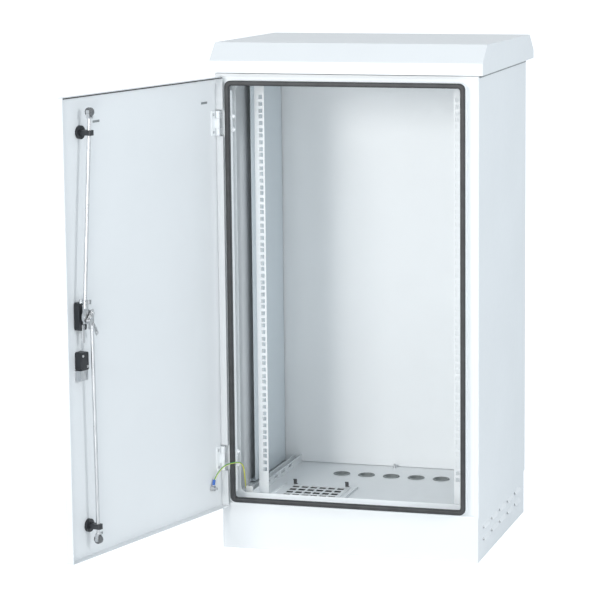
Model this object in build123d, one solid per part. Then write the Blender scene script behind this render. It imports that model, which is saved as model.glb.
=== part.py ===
from build123d import *
import os
from math import radians, sin, cos, tan, hypot

# Roadside utility cabinet: plinth, folded body, front door with a rod lock, 19 inch rack rails, roof cover.
# Millimetres. X runs to the right along the front, Y to the back, Z up. The origin is the middle of the
# plinth's underside; the pieces are drawn with Y from the body's front face and moved back when written.
# The door's pieces are drawn shut and then swung open about the hinge pins.

# Body and plinth
body_width = 612.0
body_depth = 508.0
body_height = 1000.0
plinth_height = 105.0
sheet = 2.0
plinth_inset = 2.0
plinth_return = 18.0
corner_wrap = 40.0
front_flange_side = 11.0
front_flange_top = 6.0
front_flange_bottom = 4.0
channel_depth = 4.0
edge_radius = 1.9

# Opening, its lip and its gasket
gasket_margin_side = 27.4
gasket_margin_top = 15.0
gasket_margin_bottom = 9.0
gasket_width = 11.0
lip_front = 12.0
lip_corner_radius = 14.0
gasket_height = 8.5
gasket_wrap = 1.0
gasket_crown_radius = 3.5
inner_frame_depth = 36.0
inner_frame_overlap = 1.5

# Plinth corners, feet and louvres
post_leg = 30.0
post_thickness = 3.0
foot_size = 70.0
foot_thickness = 4.0
anchor_hole_radius = 7.0
anchor_inset = 36.0
plinth_bolt_radius = 4.0
louvre_length = 56.0
louvre_height = 8.0
louvre_pitch = 85.0
louvre_count = 5
louvre_rows_z = (45.0, 73.0)
louvre_depth = 5.0

# Linings inside
side_liner_gap = 14.0
liner_sheet = 1.5
side_liner_start = 210.0
rear_cavity = 48.0
liner_edge_gap = 5.0

# Roof cover
roof_overhang_side = 11.0
roof_overhang_front = 10.0
roof_overhang_back = 38.0
roof_gap = 2.0
roof_fascia = 27.0
roof_rise = 66.0
roof_bevel = 46.0
roof_fall = 7.0
roof_return = 42.0
roof_spacer_radius = 12.0
roof_spacer_inset = 24.0
roof_bolt_radius = 4.0

# Rack rails, 19 inch grid
rack_unit = 44.45
rack_units = 20
rack_hole_inset = 8.55
rack_hole_offsets = (6.35, 22.225, 38.1)
rack_hole_size = 9.5
rail_wall_gap = 80.0
rail_face = 23.0
rail_leg = 38.0
rail_sheet = 2.0
rail_front = 107.0
rail_end_gap = 3.0
bar_width = 18.0
bar_height = 18.0
bar_sheet = 2.0
bar_front_gap = 24.0
bar_slot_length = 30.0
bar_slot_pitch = 60.0
bar_slot_width = 7.0
rail_bolt_radius = 3.0
rail_bolt_head = 5.0
rail_bolt_pitch = 24.0

# Floor: grille, filter rails, cable grommets
grille_rail_gap = 97.0
grille_centre_y = 138.0
grille_columns = 6
grille_rows = 5
grille_pitch_x = 22.0
grille_pitch_y = 27.5
grille_slot_x = 17.0
grille_slot_y = 21.0
grille_border = 8.0
grille_sheet = 1.5
filter_rail_gap = 12.0
filter_rail_height = 5.0
filter_rail_width = 5.0
filter_clip_height = 14.0
grommet_count = 5
grommet_pitch = 62.0
grommet_first_x = -114.0
grommet_back_gap = 108.0
grommet_hole_radius = 18.0
grommet_flange = 2.5
grommet_depth = 6.0
grommet_wall = 2.0
floor_stud_x = -6.0
floor_stud_back_gap = 14.0

# Door
door_gap_side = 2.0
door_bottom = 101.0
door_top_gap = 8.0
door_front = 23.0
door_depth = 19.0
open_angle = 105.0

# Hinges
pin_x_inset = 10.0
pin_y = -13.0
pin_radius = 2.5
pin_clearance = 0.05
knuckle_radius = 5.0
hinge_bottom_inset = 111.0
hinge_top_inset = 112.0
hinge_length = 56.0
knuckle_share = 22.0
knuckle_gap = 0.5
hinge_notch_gap = 2.0
leaf_thickness = 2.0
hinge_plate_thickness = 3.0

# Rod lock on the door
lock_inset = 62.0
lock_height = 525.0
rod_y = 5.0
rod_radius = 4.0
rod_stroke = 14.0
handle_turn = 90.0
cam_plate_radius = 16.0
cam_pin_radius = 2.5
cam_thickness = 4.0
rod_plate_thickness = 3.0
rod_plate_height = 44.0
cam_pin_play = 0.8
rod_foot_offset = 12.0
upper_rod_shift = 21.0
lower_rod_shift = 18.0
roller_radius = 9.5
roller_width = 8.0
roller_cheek = 2.5
roller_side_gap = 0.4
roller_pin_radius = 2.5
roller_hook = 7.0
guide_bottom_inset = 65.0
guide_top_inset = 86.0
guide_base_radius = 14.5
guide_base_thickness = 6.0
guide_arm_width = 15.0
guide_arm_height = 11.0
guide_wall = 4.0
guide_clearance = 0.5
lock_case_offset = 3.0
lock_case_width = 26.0
lock_case_height = 60.0
lock_case_depth = 14.0
housing_offset = 4.0
housing_drop = 96.0
housing_width = 25.0
housing_height = 39.0
housing_depth = 18.0
bracket_height = 22.0
bracket_depth = 15.0

# Outside handle
handle_plate_width = 36.0
handle_plate_rise = 40.0
handle_plate_drop = 142.0
handle_plate_thickness = 4.0
spindle_radius = 6.0
spindle_clearance = 0.3
hub_radius = 15.0
lever_length = 130.0
lever_width = 26.0
lever_thickness = 11.0
lever_lift_gap = 4.0
lever_pin_radius = 2.0
lever_pin_offset = 24.0
lever_tongue = 10.0
barrel_radius = 8.0
barrel_proud = 2.5
barrel_clearance = 0.05
barrel_slot_width = 2.0

# Earthing
earth_stud_radius = 3.0
door_stud_inset = 11.6
door_stud_height = 47.0
cabinet_stud_inset = 28.0
cabinet_stud_y = 118.0
cabinet_stud_length = 17.0
earth_nut_radius = 6.0
earth_nut_height = 4.0
lug_lift = 4.0
lug_radius = 6.5
lug_thickness = 2.0
lug_barrel_radius = 2.4
lug_barrel_length = 9.0
wire_radius = 1.5
wire_lead = 7.0

# Values worked out from the sizes above
half_w = body_width / 2
body_top = plinth_height + body_height
floor_top = plinth_height + sheet
ceiling = body_top - sheet
in_x = half_w - sheet
seal_x = half_w - gasket_margin_side
seal_top = body_top - gasket_margin_top
seal_bottom = plinth_height + gasket_margin_bottom
mouth_x = seal_x - gasket_width
mouth_top = seal_top - gasket_width
mouth_bottom = seal_bottom + gasket_width
door_half = half_w - door_gap_side
door_top = body_top - door_top_gap
skin_in = -door_front + sheet
door_tip = -door_front + door_depth
pin_x = -half_w + pin_x_inset
rear_liner_y = body_depth - rear_cavity
rail_in = in_x - rail_wall_gap
rack_hole_x = rail_in + rack_hole_inset
grille_centre_x = -rail_in + grille_rail_gap
grommet_y = rear_liner_y - grommet_back_gap
floor_stud_y = rear_liner_y - floor_stud_back_gap
hinge_heights = (plinth_height + hinge_bottom_inset, body_top - hinge_top_inset)
lock_x = door_half - lock_inset
lock_z = plinth_height + lock_height
upper_rod_head_x = lock_x - upper_rod_shift
lower_rod_head_x = lock_x - lower_rod_shift
guide_heights = (plinth_height + guide_bottom_inset, body_top - guide_top_inset)
housing_z = lock_z - housing_drop
handle_plate_top = lock_z + handle_plate_rise
handle_plate_bottom = lock_z - handle_plate_drop
door_stud_x = -mouth_x + door_stud_inset
door_stud_z = plinth_height + door_stud_height
cabinet_stud_x = -in_x + cabinet_stud_inset
cam_radius = rod_stroke / (2 * sin(radians(handle_turn / 2)))
cam_rest_angle = -handle_turn / 2
roller_top_z = mouth_top + roller_hook - rod_stroke - roller_radius
roller_bottom_z = mouth_bottom - roller_hook + rod_stroke + roller_radius
flange_x = half_w - front_flange_side
plinth_x = half_w - plinth_inset
plinth_y0 = plinth_inset
plinth_y1 = body_depth - plinth_inset
bolt_inset_x = sheet + plinth_inset + post_leg * 0.6
bolt_ys = (plinth_y0 + sheet + post_leg * 0.6, plinth_y1 - sheet - post_leg * 0.6)
swing_axis = Axis((pin_x, pin_y, 0), (0, 0, 1))


def slab(x0, x1, y0, y1, z0, z1):
    """A block between two corners."""
    return Pos((x0 + x1) / 2, (y0 + y1) / 2, (z0 + z1) / 2) * Box(abs(x1 - x0), abs(y1 - y0), abs(z1 - z0))


def rod_z(x, y, z0, z1, r):
    """A round bar along Z."""
    return Pos(x, y, (z0 + z1) / 2) * Cylinder(r, z1 - z0)


def rod_along_y(x, z, y0, y1, r):
    """A round bar along Y."""
    return Pos(x, (y0 + y1) / 2, z) * Rot(90, 0, 0) * Cylinder(r, y1 - y0)


def rod_along_x(y, z, x0, x1, r):
    """A round bar along X."""
    return Pos((x0 + x1) / 2, y, z) * Rot(0, 90, 0) * Cylinder(r, x1 - x0)


def plate_ring(y0, y1, half, z0, z1, r, hole_half, hole_z0, hole_z1, hole_r):
    """A plate in the XZ plane from y0 to y1 with rounded corners and a rounded opening."""
    outer = rounded_plate(y0, y1, half, z0, z1, r)
    inner = rounded_plate(y0 - 1, y1 + 1, hole_half, hole_z0, hole_z1, hole_r)
    return outer - inner


def rounded_plate(y0, y1, half, z0, z1, r):
    """A plate in the XZ plane from y0 to y1, with rounded corners where r is more than zero."""
    face = RectangleRounded(2 * half, z1 - z0, r) if r > 0 else Rectangle(2 * half, z1 - z0)
    return Pos(0, y1, (z0 + z1) / 2) * Rot(90, 0, 0) * extrude(face, y1 - y0)


def mirrored(shape):
    """The same shape on the other side of the middle plane."""
    return mirror(shape, about=Plane.YZ)


def opened(shape):
    """A door piece swung from shut to the open rest position."""
    return shape.rotate(swing_axis, -open_angle)


os.makedirs("parts", exist_ok=True)
nodes = {}


def keep(name, shape):
    """Store a finished piece under its node name."""
    nodes[name] = shape


# Plinth: four corner posts with feet, a front and a rear panel, two louvred side panels


def plinth_corner(side, front):
    """One corner post: an angle with a foot plate below and a bolting tab on top."""
    sx = side
    outer_x = plinth_x - sheet
    y_wall = plinth_y0 + sheet if front else plinth_y1 - sheet
    sy = 1 if front else -1
    angle_a = slab(outer_x - post_thickness, outer_x, y_wall, y_wall + sy * post_leg, foot_thickness,
                   plinth_height)
    angle_b = slab(outer_x - post_leg, outer_x, y_wall, y_wall + sy * post_thickness, foot_thickness,
                   plinth_height)
    foot = slab(outer_x - foot_size, outer_x, y_wall, y_wall + sy * foot_size, 0, foot_thickness)
    tab_z = plinth_height - post_thickness
    tab = slab(outer_x - post_leg, outer_x, y_wall, y_wall + sy * post_leg, tab_z, plinth_height)
    anchor = rod_z(half_w - anchor_inset, anchor_y(front), -1, foot_thickness + 1, anchor_hole_radius)
    bolt_y = y_wall + sy * post_leg * 0.6
    bolt = rod_z(outer_x - post_leg * 0.6, bolt_y, tab_z - 1, plinth_height + 1, plinth_bolt_radius)
    post = angle_a + angle_b + foot + tab - anchor - bolt
    return post if sx > 0 else mirrored(post)


def anchor_y(front):
    """Depth of the anchor holes."""
    return anchor_inset if front else body_depth - anchor_inset


def plinth_end_panel(front):
    """Front or rear panel: a folded tray, the rear one wrapped round the corners."""
    y_out = plinth_y0 if front else plinth_y1
    sy = 1 if front else -1
    top = plinth_height
    panel = slab(-plinth_x, plinth_x, y_out, y_out + sy * sheet, 0, top)
    clear_x = plinth_x - sheet - foot_size - 1
    y_in = y_out + sy * sheet
    for z0 in (0, top - sheet):
        panel += slab(-clear_x, clear_x, y_in, y_in + sy * plinth_return, z0, z0 + sheet)
    if not front:
        for s in (-1, 1):
            panel += slab(s * (plinth_x - sheet), s * plinth_x, y_in - corner_wrap, y_in, 0, top)
    return panel


def louvre_slots():
    """Places of the louvres along the side: (y, z)."""
    middle = body_depth / 2
    first = -(louvre_count - 1) / 2
    return [(middle + (first + i) * louvre_pitch, z) for z in louvre_rows_z for i in range(louvre_count)]


def plinth_side_panel():
    """Right side panel with pressed louvres: a slot under a small hood."""
    y0 = plinth_y0 + sheet
    y1 = plinth_y1 - sheet - corner_wrap
    panel = slab(plinth_x - sheet, plinth_x, y0, y1, 0, plinth_height)
    clear_y = foot_size + 1
    for z0 in (0, plinth_height - sheet):
        panel += slab(plinth_x - sheet - plinth_return, plinth_x - sheet, y0 + clear_y, y1 - clear_y, z0,
                      z0 + sheet)
    for y, z in louvre_slots():
        hood_profile = Polyline((0, 0), (louvre_depth, -louvre_height), (louvre_depth - 1.2, -louvre_height),
                                (-0.5, -1.2), close=True)
        hood = extrude(make_face(hood_profile), louvre_length / 2, both=True)
        hood = Pos(plinth_x, y, z + louvre_height / 2) * Rot(90, 0, 0) * hood
        slot = slab(plinth_x - sheet - 1, plinth_x + 0.01, y - louvre_length / 2, y + louvre_length / 2,
                    z - louvre_height / 2, z + louvre_height / 2 - 1.5)
        panel = panel - slot + hood
    return panel


corners = [plinth_corner(side, front) for side in (-1, 1) for front in (True, False)]
keep("plinth_corners", Compound(corners))
keep("plinth_front_panel", plinth_end_panel(True))
keep("plinth_rear_panel", plinth_end_panel(False))
right_plinth_side = plinth_side_panel()
keep("plinth_side_panel_right", right_plinth_side)
keep("plinth_side_panel_left", mirrored(right_plinth_side))


# Body: side, top, rear and floor sheets round a welded front frame
def side_panel():
    """Right side: the sheet, its front flange and the hem that meets the front frame."""
    y_end = body_depth - corner_wrap - sheet
    panel = slab(in_x, half_w, 0, y_end, plinth_height, body_top)
    edge = panel.edges().filter_by(Axis.Z).sort_by(lambda e: e.center().Y - e.center().X)[0]
    panel = fillet(edge, edge_radius)
    inner_edge = half_w - front_flange_side
    panel += slab(inner_edge, in_x, 0, sheet, plinth_height, body_top)
    panel += slab(inner_edge, inner_edge + sheet, sheet, channel_depth, floor_top, ceiling)
    return panel


right_side = side_panel()
keep("side_panel_right", right_side)
keep("side_panel_left", mirrored(right_side))

top_sheet = slab(-in_x, in_x, channel_depth, body_depth - sheet, ceiling, body_top)
top_sheet += slab(-flange_x, flange_x, 0, channel_depth, ceiling, body_top)
top_sheet += slab(-flange_x, flange_x, 0, sheet, body_top - front_flange_top, ceiling)
roof_bolt_x = half_w - roof_spacer_inset
roof_bolt_ys = (roof_spacer_inset, body_depth - roof_spacer_inset)
for x in (-roof_bolt_x, roof_bolt_x):
    for y in roof_bolt_ys:
        top_sheet -= rod_z(x, y, ceiling - 1, body_top + 1, roof_bolt_radius + 0.5)
keep("top_panel", top_sheet)

rear_sheet = slab(-half_w, half_w, body_depth - sheet, body_depth, plinth_height, body_top)
for s in (-1, 1):
    wrap_front = body_depth - sheet - corner_wrap
    rear_sheet += slab(s * in_x, s * half_w, wrap_front, body_depth - sheet, plinth_height, body_top)
keep("rear_panel", rear_sheet)

floor_sheet = slab(-in_x, in_x, channel_depth, body_depth - sheet, plinth_height, floor_top)
floor_sheet += slab(-flange_x, flange_x, 0, channel_depth, plinth_height, floor_top)
floor_sheet += slab(-flange_x, flange_x, 0, sheet, floor_top, plinth_height + front_flange_bottom)
grille_x = grille_columns * grille_pitch_x / 2
grille_y = grille_rows * grille_pitch_y / 2
floor_sheet -= slab(grille_centre_x - grille_x, grille_centre_x + grille_x, grille_centre_y - grille_y,
                    grille_centre_y + grille_y, plinth_height - 1, floor_top + 1)
grommet_xs = [grommet_first_x + i * grommet_pitch for i in range(grommet_count)]
for x in grommet_xs:
    floor_sheet -= rod_z(x, grommet_y, plinth_height - 1, floor_top + 1, grommet_hole_radius)
for x in (-half_w + bolt_inset_x, half_w - bolt_inset_x):
    for y in bolt_ys:
        floor_sheet -= rod_z(x, y, plinth_height - 1, floor_top + 1, plinth_bolt_radius)
keep("floor_panel", floor_sheet)

plinth_bolts = []
for x in (-half_w + bolt_inset_x, half_w - bolt_inset_x):
    for y in bolt_ys:
        shank = rod_z(x, y, plinth_height - post_thickness, floor_top, plinth_bolt_radius)
        head = rod_z(x, y, floor_top, floor_top + 4, plinth_bolt_radius * 1.7)
        plinth_bolts.append(shank + head)
keep("plinth_bolts", Compound(plinth_bolts))

# Front frame: channel floor, lip and inward flange in one ring
lip_x = seal_x - sheet
frame_floor = plate_ring(channel_depth, channel_depth + sheet, in_x, floor_top, ceiling, 0,
                         lip_x, seal_bottom + sheet, seal_top - sheet, lip_corner_radius - sheet)
frame_lip = plate_ring(-lip_front, channel_depth + sheet, seal_x, seal_bottom, seal_top, lip_corner_radius,
                       lip_x, seal_bottom + sheet, seal_top - sheet, lip_corner_radius - sheet)
flange_in_x = mouth_x + gasket_wrap
flange_in_r = lip_corner_radius - gasket_width + gasket_wrap
frame_flange = plate_ring(-lip_front, -lip_front + sheet, seal_x, seal_bottom, seal_top, lip_corner_radius,
                          flange_in_x, mouth_bottom - gasket_wrap, mouth_top + gasket_wrap, flange_in_r + 4)
front_frame = frame_floor + frame_lip + frame_flange
keep("front_frame", front_frame)

# Inner frame: an angle ring behind the lip; the lock rollers run between the two
inner_x = mouth_x + inner_frame_overlap
inner_ring = plate_ring(inner_frame_depth - sheet, inner_frame_depth, in_x, floor_top, ceiling, 0,
                        inner_x, mouth_bottom + inner_frame_overlap, mouth_top - inner_frame_overlap,
                        lip_corner_radius)
inner_leg = plate_ring(channel_depth + sheet, inner_frame_depth - sheet, in_x, floor_top, ceiling, 0,
                       in_x - sheet, floor_top + sheet, ceiling - sheet, 0)
inner_frame = inner_ring + inner_leg
for x in (-1, 1):
    inner_frame -= rod_z(x * (half_w - bolt_inset_x), bolt_ys[0], floor_top - 1, floor_top + sheet + 1,
                         plinth_bolt_radius * 1.7 + 1)
    inner_frame -= rod_z(x * roof_bolt_x, roof_bolt_ys[0], ceiling - sheet - 1, ceiling + 1,
                         roof_bolt_radius * 1.8 + 1)
keep("inner_frame", inner_frame)

# Gasket: a soft strip round the flange, with a rounded crown towards the door
seal_front = -lip_front - gasket_height
crown = plate_ring(seal_front, -lip_front, seal_x, seal_bottom, seal_top, lip_corner_radius,
                   mouth_x, mouth_bottom, mouth_top, 6)
front_edges = crown.edges().filter_by(lambda e: abs(e.center().Y - seal_front) < 0.01)
crown = fillet(front_edges, gasket_crown_radius)
wrap = plate_ring(-lip_front, -lip_front + sheet + gasket_wrap, flange_in_x, mouth_bottom - gasket_wrap,
                  mouth_top + gasket_wrap, flange_in_r + 4, mouth_x, mouth_bottom, mouth_top, 6)
keep("door_gasket", crown + wrap)


# Linings: side liners stand off the walls, the rear liner is a tray on the rear panel
def side_liner():
    """Left side liner with its top and bottom flanges towards the wall."""
    x = -in_x + side_liner_gap
    y1 = rear_liner_y - liner_edge_gap
    z0 = floor_top + liner_edge_gap
    z1 = ceiling - liner_edge_gap
    liner = slab(x, x + liner_sheet, side_liner_start, y1, z0, z1)
    liner += slab(-in_x, x, side_liner_start, y1, z0, z0 + liner_sheet)
    liner += slab(-in_x, x, side_liner_start, y1, z1 - liner_sheet, z1)
    liner += slab(-in_x, x, y1 - liner_sheet, y1, z0 + liner_sheet, z1 - liner_sheet)
    return liner


left_liner = side_liner()
keep("side_liner_left", left_liner)
keep("side_liner_right", mirrored(left_liner))
liner_x = in_x - liner_edge_gap
rear_tray = slab(-liner_x, liner_x, rear_liner_y, body_depth - sheet, floor_top + 1, ceiling - 1)
rear_hollow = slab(-liner_x + liner_sheet, liner_x - liner_sheet, rear_liner_y + liner_sheet, body_depth,
                   floor_top + 1 + liner_sheet, ceiling - 1 - liner_sheet)
rear_liner = rear_tray - rear_hollow
for x in (-1, 1):
    rear_liner -= rod_z(x * (half_w - bolt_inset_x), bolt_ys[1], floor_top, floor_top + 4,
                        plinth_bolt_radius * 1.7 + 1)
    rear_liner -= rod_z(x * roof_bolt_x, roof_bolt_ys[1], ceiling - 4, ceiling, roof_bolt_radius * 1.8 + 1)
keep("rear_liner", rear_liner)

# Roof cover: one folded section across the width, closed by flat ends, on four spacers
roof_x = half_w + roof_overhang_side
roof_front = -roof_overhang_front
roof_back = body_depth + roof_overhang_back
roof_z = body_top + roof_gap


def roof_prism(inset, half):
    """The roof's section, set in by a wall, extruded to the given half width."""
    front = roof_front + inset
    back = roof_back - inset
    eave = roof_z + roof_fascia - inset * 0.4
    top = roof_z + roof_rise - inset
    base = roof_z if inset == 0 else roof_z - 1
    points = [(front, base), (front, eave), (roof_front + roof_bevel + inset * 0.4, top),
              (roof_back - roof_bevel - inset * 0.4, top - roof_fall), (back, eave - roof_fall), (back, base)]
    face = make_face(Polyline(*points, close=True))
    return Rot(0, 0, 90) * Rot(90, 0, 0) * extrude(face, half, both=True)


roof_shell = roof_prism(0, roof_x) - roof_prism(sheet, roof_x - sheet)
for x in (-roof_bolt_x, roof_bolt_x):
    s = 1 if x > 0 else -1
    tongue = slab(x - s * roof_return / 2, s * (roof_x - sheet), roof_front + sheet, roof_back - sheet,
                  roof_z,
                  roof_z + sheet)
    for y in roof_bolt_ys:
        tongue -= rod_z(x, y, roof_z - 1, roof_z + sheet + 1, roof_bolt_radius + 0.5)
    roof_shell += tongue
keep("roof_cover", roof_shell)
spacers = []
roof_bolts = []
for x in (-roof_bolt_x, roof_bolt_x):
    for y in roof_bolt_ys:
        ring = rod_z(x, y, body_top, roof_z, roof_spacer_radius)
        spacers.append(ring - rod_z(x, y, body_top - 1, roof_z + 1, roof_bolt_radius + 0.5))
        shank = rod_z(x, y, ceiling, roof_z + sheet, roof_bolt_radius)
        head = rod_z(x, y, ceiling - 5, ceiling, roof_bolt_radius * 1.8)
        nut = rod_z(x, y, roof_z + sheet, roof_z + sheet + 6, roof_bolt_radius * 1.8)
        roof_bolts.append(shank + head + nut)
keep("roof_spacers", Compound(spacers))
keep("roof_bolts", Compound(roof_bolts))

# Rack rails: angle sections with a column of square holes, on depth bars
rail_out = rail_in + rail_face
rail_z0 = floor_top + rail_end_gap
rail_z1 = ceiling - rail_end_gap
rack_bottom = (floor_top + ceiling) / 2 - rack_units * rack_unit / 2


def rack_rail():
    """Right rack rail."""
    rail = slab(rail_in, rail_out, rail_front, rail_front + rail_sheet, rail_z0, rail_z1)
    rail += slab(rail_out - rail_sheet, rail_out, rail_front + rail_sheet, rail_front + rail_leg, rail_z0,
                 rail_z1)
    size = rack_hole_size
    cuts = []
    for unit in range(rack_units):
        for offset in rack_hole_offsets:
            z = rack_bottom + unit * rack_unit + offset
            cuts.append(Pos(rack_hole_x, rail_front + rail_sheet / 2, z) * Box(size, rail_sheet + 2, size))
    rail = rail.cut(*cuts)
    for z in bar_bolt_zs:
        for y in bar_bolt_ys:
            rail -= rod_along_x(y, z, rail_out - rail_sheet - 1, rail_out + 1, rail_bolt_radius + 0.3)
    return rail


bar_bolt_zs = (floor_top + bar_height * 0.65, ceiling - bar_height * 0.65)
bar_bolt_ys = (rail_front + rail_leg / 2 + 1 - rail_bolt_pitch / 2 + 4,
               rail_front + rail_leg / 2 + 1 + rail_bolt_pitch / 2)
bar_y0 = inner_frame_depth + bar_front_gap
bar_y1 = rear_liner_y - 2


def depth_bar(upper):
    """Right depth bar: a channel open towards the middle of the cabinet's height."""
    bar = slab(rail_out, rail_out + bar_width, bar_y0, bar_y1, floor_top, floor_top + bar_height)
    bar -= slab(rail_out + bar_sheet, rail_out + bar_width - bar_sheet, bar_y0 - 1, bar_y1 + 1,
                floor_top + bar_sheet, floor_top + bar_height + 1)
    count = int((bar_y1 - bar_front_gap - rail_front - rail_leg) // bar_slot_pitch)
    z_mid = floor_top + bar_height * 0.6
    for i in range(count):
        y = rail_front + rail_leg + bar_slot_pitch * (i + 0.6)
        bar -= slab(rail_out - 1, rail_out + bar_sheet + 1, y - bar_slot_length / 2, y + bar_slot_length / 2,
                    z_mid - bar_slot_width / 2, z_mid + bar_slot_width / 2)
    for y in bar_bolt_ys:
        bar -= rod_along_x(y, bar_bolt_zs[0], rail_out - 1, rail_out + bar_sheet + 1, rail_bolt_radius + 0.3)
    if upper:
        bar = mirror(bar, about=Plane.XY.offset((floor_top + ceiling) / 2))
    return bar


right_rail = rack_rail()
keep("rack_rail_right", right_rail)
keep("rack_rail_left", mirrored(right_rail))
for upper, tag in ((False, "lower"), (True, "upper")):
    bar = depth_bar(upper)
    keep("depth_bar_" + tag + "_right", bar)
    keep("depth_bar_" + tag + "_left", mirrored(bar))
rail_bolts = []
for z in bar_bolt_zs:
    for y in bar_bolt_ys:
        shank = rod_along_x(y, z, rail_out - rail_sheet, rail_out + bar_sheet + 3, rail_bolt_radius)
        head = rod_along_x(y, z, rail_out - rail_sheet - 3.5, rail_out - rail_sheet, rail_bolt_head)
        rail_bolts += [shank + head, mirrored(shank + head)]
keep("rail_bolts", Compound(rail_bolts))

# Floor fittings
grille = slab(grille_centre_x - grille_x - grille_border, grille_centre_x + grille_x + grille_border,
              grille_centre_y - grille_y - grille_border, grille_centre_y + grille_y + grille_border,
              floor_top, floor_top + grille_sheet)
slots = []
for i in range(grille_columns):
    for j in range(grille_rows):
        x = grille_centre_x + (i - (grille_columns - 1) / 2) * grille_pitch_x
        y = grille_centre_y + (j - (grille_rows - 1) / 2) * grille_pitch_y
        slots.append(Pos(x, y, floor_top + grille_sheet / 2) * Box(grille_slot_x, grille_slot_y,
                                                                   grille_sheet + 2))
keep("floor_grille", grille.cut(*slots))
rail_gap = grille_x + grille_border + filter_rail_gap
grille_back = grille_centre_y + grille_y
filter_rails = []
filter_clips = []
for s in (-1, 1):
    x = grille_centre_x + s * rail_gap
    filter_rails.append(slab(x, x + s * filter_rail_width, grille_centre_y - grille_y,
                             grille_back + grille_border,
                             floor_top, floor_top + filter_rail_height))
    x = grille_centre_x + s * (grille_x - 2)
    y = grille_back + grille_border
    clip = slab(x - 4, x + 4, y, y + 1.5, floor_top, floor_top + filter_clip_height)
    clip += slab(x - 4, x + 4, y - 4, y, floor_top + filter_clip_height - 1.5, floor_top + filter_clip_height)
    clip += slab(x - 4, x + 4, y + 1.5, y + 9, floor_top, floor_top + 1.5)
    filter_clips.append(clip)
keep("filter_rails", Compound(filter_rails))
keep("filter_clips", Compound(filter_clips))


def grommet(x):
    """Cable grommet: a flange on the floor, a sleeve through the hole and a thin membrane."""
    z0 = plinth_height - grommet_depth
    r = grommet_hole_radius
    profile = Polyline((0, z0), (r - 0.3, z0), (r - 0.3, floor_top), (r + grommet_flange, floor_top),
                       (r + grommet_flange, floor_top + 1), (r + grommet_flange - 1.5,
                                                             floor_top + grommet_flange),
                       (r - grommet_wall, floor_top + grommet_flange), (r - grommet_wall - 1, z0 + 1.5),
                       (0, z0 + 1.5), close=True)
    ring = revolve(Rot(90, 0, 0) * make_face(profile), Axis.Z)
    return Pos(x, grommet_y, 0) * ring


keep("cable_grommets", Compound([grommet(x) for x in grommet_xs]))
keep("floor_stud", rod_z(floor_stud_x, floor_stud_y, floor_top, floor_top + 10, 2.5)
     + rod_z(floor_stud_x, floor_stud_y, floor_top, floor_top + 4, 4.5))


# Hinges: a leaf with two knuckles on the front frame, a plate with one knuckle on the door, and a pin
def hinge_leaf(z):
    """Cabinet half: plate in the channel and two arms that hold the pin."""
    x_seal = -seal_x - 1
    leaf = slab(-flange_x, x_seal, channel_depth - leaf_thickness, channel_depth, z - hinge_length / 2,
                z + hinge_length / 2)
    for z0, z1 in ((z - hinge_length / 2, z - knuckle_share / 2 - knuckle_gap),
                   (z + knuckle_share / 2 + knuckle_gap, z + hinge_length / 2)):
        leaf += slab(pin_x, pin_x + knuckle_radius, pin_y, channel_depth, z0, z1)
        leaf += rod_z(pin_x, pin_y, z0, z1, knuckle_radius)
    leaf -= slab(-half_w, -flange_x, 0, channel_depth + 1, z - hinge_length, z + hinge_length)
    leaf -= rod_z(pin_x, pin_y, z - hinge_length, z + hinge_length, pin_radius)
    return leaf


def hinge_plate(z):
    """Door half: plate on the door's skin and the middle knuckle, shut position."""
    half = knuckle_share / 2
    plate = slab(pin_x - 3, -seal_x - 1, skin_in, skin_in + hinge_plate_thickness,
                 z - hinge_length / 2, z + hinge_length / 2)
    plate += slab(pin_x - 3, pin_x + knuckle_radius, skin_in, pin_y, z - half, z + half)
    plate += rod_z(pin_x, pin_y, z - half, z + half, knuckle_radius)
    plate -= rod_z(pin_x, pin_y, z - hinge_length, z + hinge_length, pin_radius + pin_clearance)
    return plate


pins = []
for z, tag in zip(hinge_heights, ("lower", "upper")):
    keep("hinge_leaf_" + tag, hinge_leaf(z))
    pins.append(rod_z(pin_x, pin_y, z - hinge_length / 2, z + hinge_length / 2, pin_radius))
    keep("hinge_plate_" + tag, opened(hinge_plate(z)))
keep("hinge_pins", Compound(pins))

# Door: a folded tray, notched for the hinge arms, with holes for the lock
door = slab(-door_half, door_half, -door_front, door_tip, door_bottom, door_top)
door = fillet(door.edges().filter_by(lambda e: abs(e.center().Y + door_front) < 0.01), edge_radius)
door -= slab(-door_half + sheet, door_half - sheet, skin_in, door_tip + 1, door_bottom + sheet,
             door_top - sheet)
for z in hinge_heights:
    notch = hinge_length / 2 + hinge_notch_gap
    door -= slab(-door_half - 1, -door_half + sheet + 0.1, skin_in, door_tip + 1, z - notch, z + notch)
door -= rod_along_y(lock_x, lock_z, -door_front - 1, skin_in + 1, spindle_radius + 2)
door -= rod_along_y(lock_x, housing_z, -door_front - 1, skin_in + 1, barrel_radius + 2)
keep("door_panel", opened(door))

# Lock case, cylinder housing and its bracket on the inside of the door
case_x = lock_x + lock_case_offset
case = slab(case_x - lock_case_width / 2, case_x + lock_case_width / 2, skin_in, skin_in + lock_case_depth,
            lock_z - lock_case_height / 2, lock_z + lock_case_height / 2)
case = fillet(case.edges().filter_by(Axis.Y), 5)
case -= rod_along_y(lock_x, lock_z, skin_in - 1, skin_in + lock_case_depth + 1,
                    spindle_radius + spindle_clearance)
keep("lock_case", opened(case))
barrel_end = skin_in + housing_depth - 4
housing_x = lock_x + housing_offset
housing = slab(housing_x - housing_width / 2, housing_x + housing_width / 2, skin_in, skin_in + housing_depth,
               housing_z - housing_height / 2, housing_z + housing_height / 2)
housing = fillet(housing.edges().filter_by(Axis.Y), 4)
housing -= rod_along_y(lock_x, housing_z, skin_in - 1, barrel_end + 0.5, barrel_radius + barrel_clearance)
keep("cylinder_housing", opened(housing))
bracket_top = housing_z - housing_height / 2 - 0.5
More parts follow.
